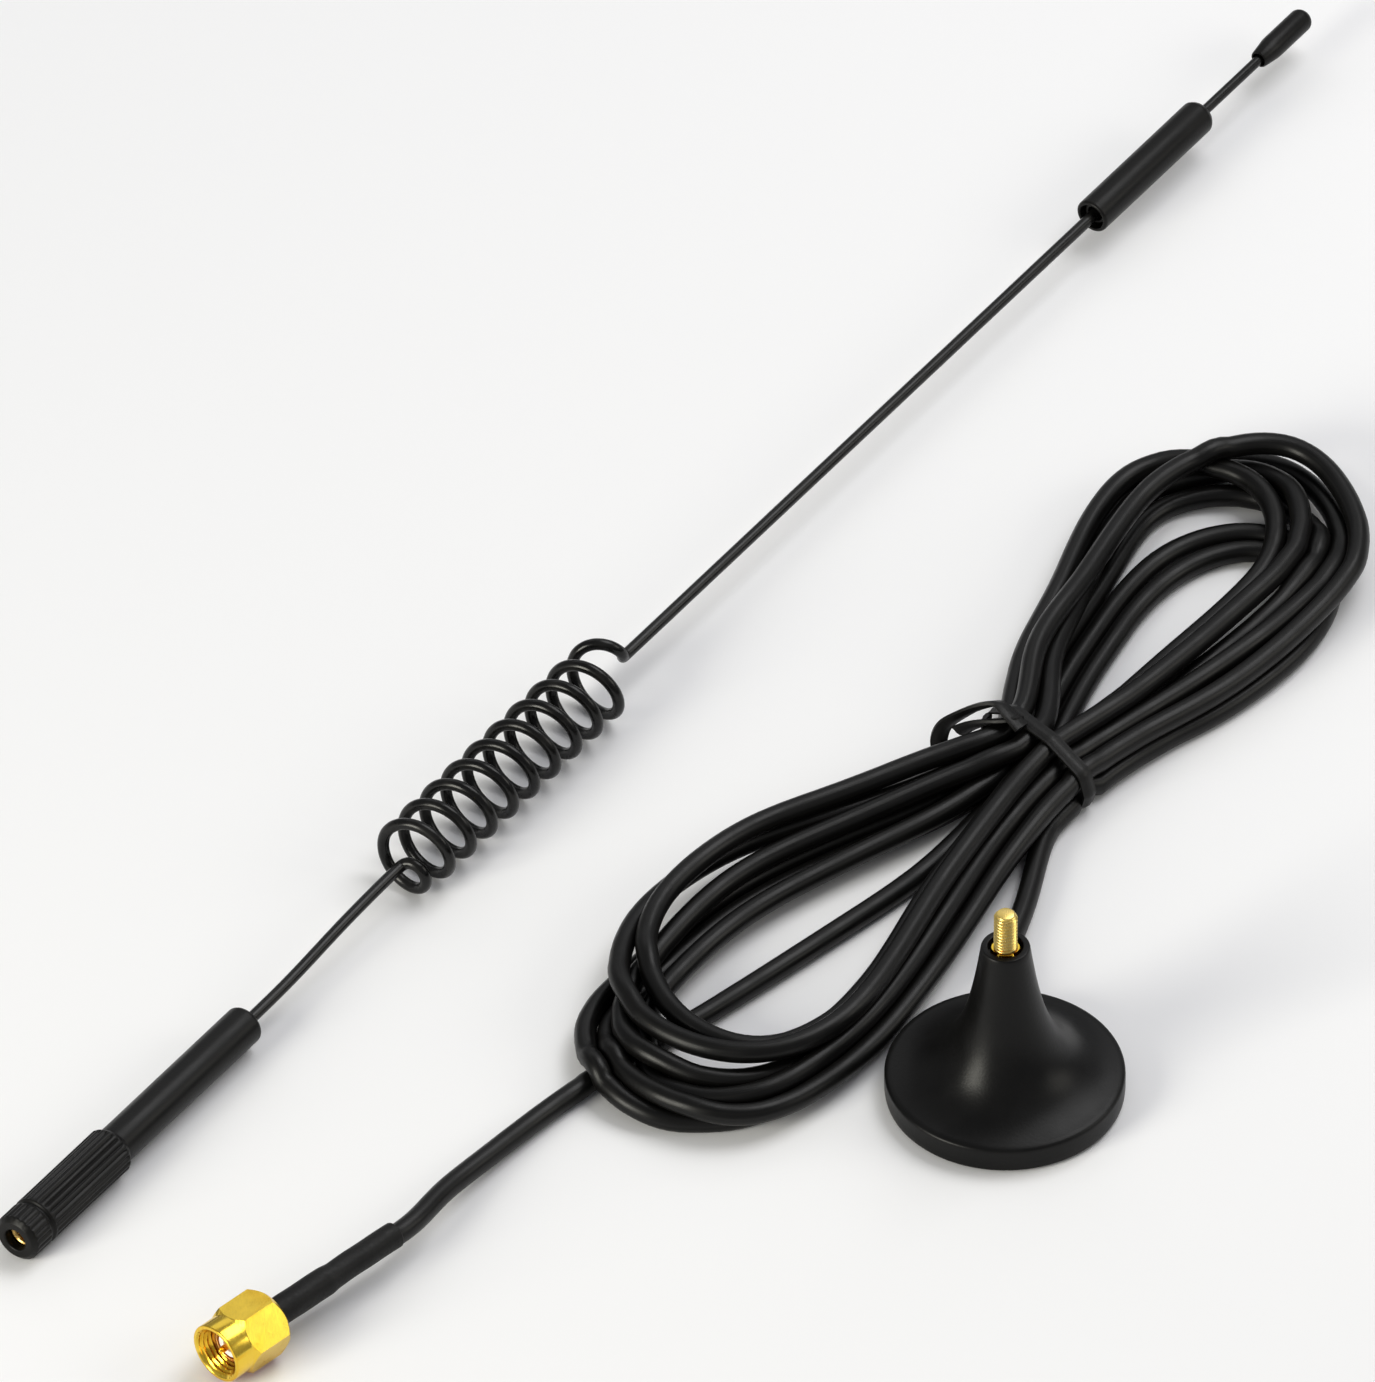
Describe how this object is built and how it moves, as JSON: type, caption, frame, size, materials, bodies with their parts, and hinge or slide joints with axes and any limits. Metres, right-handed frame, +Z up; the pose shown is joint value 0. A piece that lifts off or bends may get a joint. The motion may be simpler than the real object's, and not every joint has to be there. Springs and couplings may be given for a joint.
{
  "type": "omnidirectional antenna",
  "caption": "Magnetic-mount whip antenna with a coil-loaded whip, bell base with a threaded stud, and a tied thin coaxial cable ending in a threaded coaxial plug.",
  "frame": {"origin": "centre of the magnetic base's underside, on the surface that it stands on", "axes": "+Z up along the base's stud; +Y away from the side where the connector lies, and out of the base along the cable's exit; +X to the right"},
  "size_m": [0.1706, 0.2525, 0.03],
  "materials": {
    "black_plastic": "moulded, satin",
    "black_coating": "smooth, glossy",
    "cable_jacket": "soft vinyl, satin",
    "black_rubber": "matt",
    "gold_plate": "bright gold plate",
    "brass": "machined",
    "steel": "plated",
    "magnet": "sintered",
    "copper": "tinned and bare wire",
    "white_dielectric": "smooth",
    "gasket_silicone": "matt"
  },
  "bodies": {
    "base": {"base_shell": "black_plastic", "bottom_film": "black_rubber", "ring_magnet": "magnet", "ground_plate": "steel", "stud": "gold_plate", "stud_collar": "gold_plate", "cable_strain_relief": "black_rubber", "feed_wire": "copper", "ground_braid": "copper", "cable_lead_base": "cable_jacket", "cable_hank": "cable_jacket", "cable_lead_connector": "cable_jacket", "twist_tie": "black_rubber", "heat_shrink_boot": "black_rubber", "crimp_ferrule": "gold_plate", "connector_body": "gold_plate", "snap_ring": "steel", "gasket": "gasket_silicone", "dielectric": "white_dielectric", "centre_pin": "gold_plate"},
    "whip": {"whip_ferrule": "black_plastic", "thread_insert": "brass", "whip_wire": "black_coating", "joint_sleeve": "black_plastic", "sleeve_bushing": "black_plastic", "rod_crimp": "brass", "upper_rod": "black_coating", "tip_cap": "black_plastic"},
    "coupling_nut": {"coupling_nut": "gold_plate"}
  },
  "joints": [
    {"name": "whip_lift", "type": "slide", "parent": "base", "child": "whip", "axis": [0, 0, 1], "range_m": [0, 0.1]},
    {"name": "coupling_nut_spin", "type": "hinge", "parent": "base", "child": "coupling_nut", "pos_m": [-0.0974, -0.0534, 0.00465], "axis": [0.7071, 0.7071, 0], "continuous": true}
  ]
}
